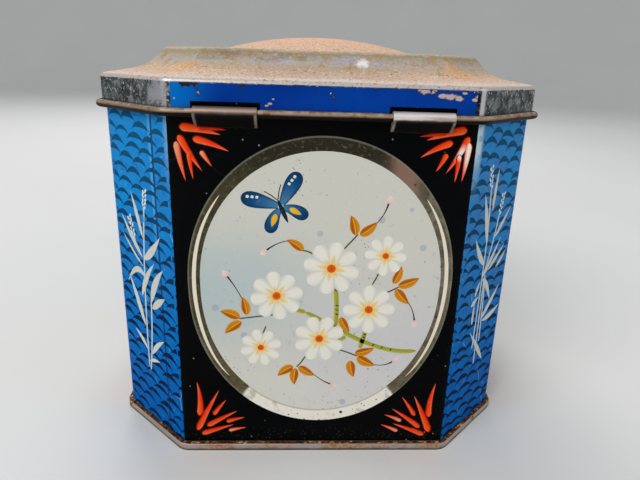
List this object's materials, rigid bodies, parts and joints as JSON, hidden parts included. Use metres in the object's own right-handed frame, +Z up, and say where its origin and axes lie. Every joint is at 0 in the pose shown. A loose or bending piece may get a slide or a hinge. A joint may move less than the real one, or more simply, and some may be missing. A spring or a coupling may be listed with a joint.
{
  "type": "hinged tin box",
  "caption": "Square tinplate box with slanted corners, a double-seamed foot and a low domed lid that turns on rolled hinge straps.",
  "frame": {"origin": "middle of the foot, on the surface that the box stands on", "axes": "+Z up, -Y out of the hinge wall, +X along the hinge"},
  "size_m": [0.1046, 0.1051, 0.0986],
  "materials": {
    "printed_wall": "gloss printed tinplate",
    "bare_tin": "tarnished tinplate",
    "printed_lid": "worn printed tinplate",
    "strap_tin": "tarnished tinplate"
  },
  "bodies": {
    "box": {"body_wall": "printed_wall", "base_pan": "bare_tin", "hinge_strap_left": "strap_tin", "hinge_strap_right": "strap_tin"},
    "lid": {"lid_shell": "printed_lid"}
  },
  "joints": [
    {"name": "lid_hinge", "type": "hinge", "parent": "box", "child": "lid", "pos_m": [0, -0.05145, 0.0816], "axis": [1, 0, 0], "range_deg": [0, 190]}
  ]
}
